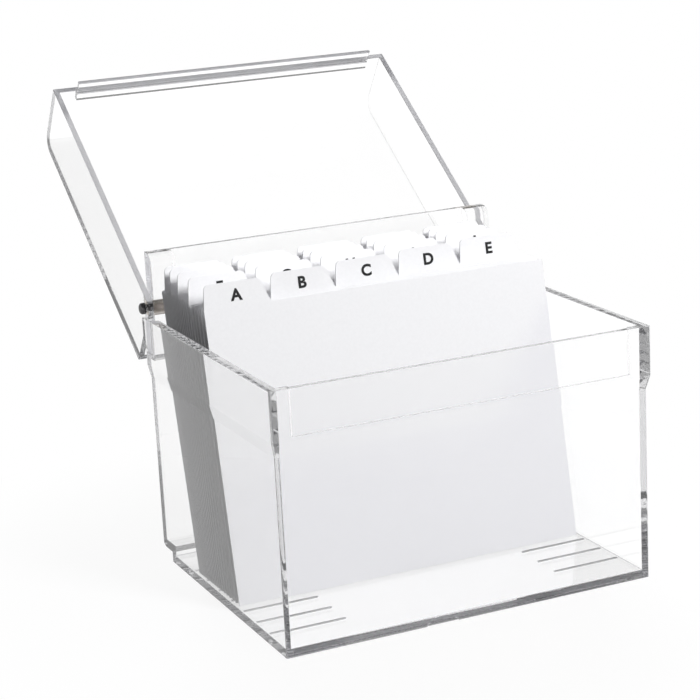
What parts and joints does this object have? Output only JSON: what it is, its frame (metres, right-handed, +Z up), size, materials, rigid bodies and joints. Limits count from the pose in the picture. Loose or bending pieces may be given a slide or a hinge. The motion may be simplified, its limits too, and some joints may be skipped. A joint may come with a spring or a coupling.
{
  "type": "index card file box",
  "caption": "Clear open-topped tray with a flanged lid on two metal hinge pins, holding lettered, stepped-tab guide cards that tilt like pages.",
  "frame": {"origin": "middle of the tray's foot, on the surface it stands on; the foot is 122 mm deep and the back overhangs it", "axes": "+X runs along the front to the viewer's right, -Y is the front that the cards face, +Z is up"},
  "size_m": [0.168, 0.2503, 0.1932],
  "materials": {
    "clear_plastic": "clear, moulded and polished",
    "bushing_metal": "turned, satin",
    "pin_metal": "nickel-plated, semi-bright",
    "card_stock": "smooth uncoated white card"
  },
  "bodies": {
    "tray": {"base_tray": "clear_plastic", "hinge_bushing_left": "bushing_metal", "hinge_bushing_right": "bushing_metal"},
    "lid": {"lid": "clear_plastic", "hinge_pin_left": "pin_metal", "hinge_pin_right": "pin_metal"},
    "card_a": {"divider_a": "card_stock"},
    "card_b": {"divider_b": "card_stock"},
    "card_c": {"divider_c": "card_stock"},
    "card_d": {"divider_d": "card_stock"},
    "card_e": {"divider_e": "card_stock"},
    "card_f": {"divider_f": "card_stock"},
    "card_g": {"divider_g": "card_stock"},
    "card_h": {"divider_h": "card_stock"},
    "card_i": {"divider_i": "card_stock"},
    "card_j": {"divider_j": "card_stock"},
    "card_k": {"divider_k": "card_stock"},
    "card_l": {"divider_l": "card_stock"},
    "card_m": {"divider_m": "card_stock"},
    "card_n": {"divider_n": "card_stock"},
    "card_o": {"divider_o": "card_stock"},
    "card_p": {"divider_p": "card_stock"},
    "card_q": {"divider_q": "card_stock"},
    "card_r": {"divider_r": "card_stock"},
    "card_s": {"divider_s": "card_stock"},
    "card_t": {"divider_t": "card_stock"},
    "card_u": {"divider_u": "card_stock"},
    "card_v": {"divider_v": "card_stock"},
    "card_w": {"divider_w": "card_stock"},
    "card_xy": {"divider_xy": "card_stock"},
    "card_z": {"divider_z": "card_stock"}
  },
  "joints": [
    {"name": "lid_hinge", "type": "hinge", "parent": "tray", "child": "lid", "pos_m": [0, 0.0679, 0.11], "axis": [1, 0, 0], "range_deg": [0, 144.5]},
    {"name": "card_a_tilt", "type": "hinge", "parent": "tray", "child": "card_a", "pos_m": [0, -0.009, 0.00315], "axis": [1, 0, 0], "range_deg": [0, 31]},
    {"name": "card_b_tilt", "type": "hinge", "parent": "tray", "child": "card_b", "pos_m": [0, -0.00531, 0.00315], "axis": [1, 0, 0], "range_deg": [0, 29.78]},
    {"name": "card_c_tilt", "type": "hinge", "parent": "tray", "child": "card_c", "pos_m": [0, -0.00188, 0.00315], "axis": [1, 0, 0], "range_deg": [0, 28.54]},
    {"name": "card_d_tilt", "type": "hinge", "parent": "tray", "child": "card_d", "pos_m": [0, 0.00132, 0.00315], "axis": [1, 0, 0], "range_deg": [0, 27.3]},
    {"name": "card_e_tilt", "type": "hinge", "parent": "tray", "child": "card_e", "pos_m": [0, 0.00429, 0.00315], "axis": [1, 0, 0], "range_deg": [0, 26.06]},
    {"name": "card_f_tilt", "type": "hinge", "parent": "tray", "child": "card_f", "pos_m": [0, 0.00705, 0.00315], "axis": [1, 0, 0], "range_deg": [0, 24.82]},
    {"name": "card_g_tilt", "type": "hinge", "parent": "tray", "child": "card_g", "pos_m": [0, 0.00961, 0.00315], "axis": [1, 0, 0], "range_deg": [0, 23.58]},
    {"name": "card_h_tilt", "type": "hinge", "parent": "tray", "child": "card_h", "pos_m": [0, 0.012, 0.00315], "axis": [1, 0, 0], "range_deg": [0, 22.34]},
    {"name": "card_i_tilt", "type": "hinge", "parent": "tray", "child": "card_i", "pos_m": [0, 0.01422, 0.00315], "axis": [1, 0, 0], "range_deg": [0, 21.1]},
    {"name": "card_j_tilt", "type": "hinge", "parent": "tray", "child": "card_j", "pos_m": [0, 0.01629, 0.00315], "axis": [1, 0, 0], "range_deg": [0, 19.86]},
    {"name": "card_k_tilt", "type": "hinge", "parent": "tray", "child": "card_k", "pos_m": [0, 0.01821, 0.00315], "axis": [1, 0, 0], "range_deg": [0, 18.62]},
    {"name": "card_l_tilt", "type": "hinge", "parent": "tray", "child": "card_l", "pos_m": [0, 0.02, 0.00315], "axis": [1, 0, 0], "range_deg": [0, 17.38]},
    {"name": "card_m_tilt", "type": "hinge", "parent": "tray", "child": "card_m", "pos_m": [0, 0.02166, 0.00315], "axis": [1, 0, 0], "range_deg": [0, 16.14]},
    {"name": "card_n_tilt", "type": "hinge", "parent": "tray", "child": "card_n", "pos_m": [0, 0.0232, 0.00315], "axis": [1, 0, 0], "range_deg": [0, 14.9]},
    {"name": "card_o_tilt", "type": "hinge", "parent": "tray", "child": "card_o", "pos_m": [0, 0.02464, 0.00315], "axis": [1, 0, 0], "range_deg": [0, 13.66]},
    {"name": "card_p_tilt", "type": "hinge", "parent": "tray", "child": "card_p", "pos_m": [0, 0.02598, 0.00315], "axis": [1, 0, 0], "range_deg": [0, 12.42]},
    {"name": "card_q_tilt", "type": "hinge", "parent": "tray", "child": "card_q", "pos_m": [0, 0.02722, 0.00315], "axis": [1, 0, 0], "range_deg": [0, 11.18]},
    {"name": "card_r_tilt", "type": "hinge", "parent": "tray", "child": "card_r", "pos_m": [0, 0.02837, 0.00315], "axis": [1, 0, 0], "range_deg": [0, 9.94]},
    {"name": "card_s_tilt", "type": "hinge", "parent": "tray", "child": "card_s", "pos_m": [0, 0.02945, 0.00315], "axis": [1, 0, 0], "range_deg": [0, 8.7]},
    {"name": "card_t_tilt", "type": "hinge", "parent": "tray", "child": "card_t", "pos_m": [0, 0.03045, 0.00315], "axis": [1, 0, 0], "range_deg": [0, 7.46]},
    {"name": "card_u_tilt", "type": "hinge", "parent": "tray", "child": "card_u", "pos_m": [0, 0.03138, 0.00315], "axis": [1, 0, 0], "range_deg": [0, 6.22]},
    {"name": "card_v_tilt", "type": "hinge", "parent": "tray", "child": "card_v", "pos_m": [0, 0.03224, 0.00315], "axis": [1, 0, 0], "range_deg": [0, 4.98]},
    {"name": "card_w_tilt", "type": "hinge", "parent": "tray", "child": "card_w", "pos_m": [0, 0.03305, 0.00315], "axis": [1, 0, 0], "range_deg": [0, 3.74]},
    {"name": "card_xy_tilt", "type": "hinge", "parent": "tray", "child": "card_xy", "pos_m": [0, 0.0338, 0.00315], "axis": [1, 0, 0], "range_deg": [0, 2.5]},
    {"name": "card_z_tilt", "type": "hinge", "parent": "tray", "child": "card_z", "pos_m": [0, 0.03449, 0.00315], "axis": [1, 0, 0], "range_deg": [0, 1.26]}
  ],
  "couplings": [
    {"joint": "card_b_tilt", "follows": "card_a_tilt", "ratio": 0.96},
    {"joint": "card_c_tilt", "follows": "card_a_tilt", "ratio": 0.92},
    {"joint": "card_d_tilt", "follows": "card_a_tilt", "ratio": 0.88},
    {"joint": "card_e_tilt", "follows": "card_a_tilt", "ratio": 0.84},
    {"joint": "card_f_tilt", "follows": "card_a_tilt", "ratio": 0.8},
    {"joint": "card_g_tilt", "follows": "card_a_tilt", "ratio": 0.76},
    {"joint": "card_h_tilt", "follows": "card_a_tilt", "ratio": 0.72},
    {"joint": "card_i_tilt", "follows": "card_a_tilt", "ratio": 0.68},
    {"joint": "card_j_tilt", "follows": "card_a_tilt", "ratio": 0.64},
    {"joint": "card_k_tilt", "follows": "card_a_tilt", "ratio": 0.6},
    {"joint": "card_l_tilt", "follows": "card_a_tilt", "ratio": 0.56},
    {"joint": "card_m_tilt", "follows": "card_a_tilt", "ratio": 0.52},
    {"joint": "card_n_tilt", "follows": "card_a_tilt", "ratio": 0.48},
    {"joint": "card_o_tilt", "follows": "card_a_tilt", "ratio": 0.44},
    {"joint": "card_p_tilt", "follows": "card_a_tilt", "ratio": 0.4},
    {"joint": "card_q_tilt", "follows": "card_a_tilt", "ratio": 0.36},
    {"joint": "card_r_tilt", "follows": "card_a_tilt", "ratio": 0.32},
    {"joint": "card_s_tilt", "follows": "card_a_tilt", "ratio": 0.28},
    {"joint": "card_t_tilt", "follows": "card_a_tilt", "ratio": 0.24},
    {"joint": "card_u_tilt", "follows": "card_a_tilt", "ratio": 0.2},
    {"joint": "card_v_tilt", "follows": "card_a_tilt", "ratio": 0.16},
    {"joint": "card_w_tilt", "follows": "card_a_tilt", "ratio": 0.12},
    {"joint": "card_xy_tilt", "follows": "card_a_tilt", "ratio": 0.08},
    {"joint": "card_z_tilt", "follows": "card_a_tilt", "ratio": 0.04}
  ]
}
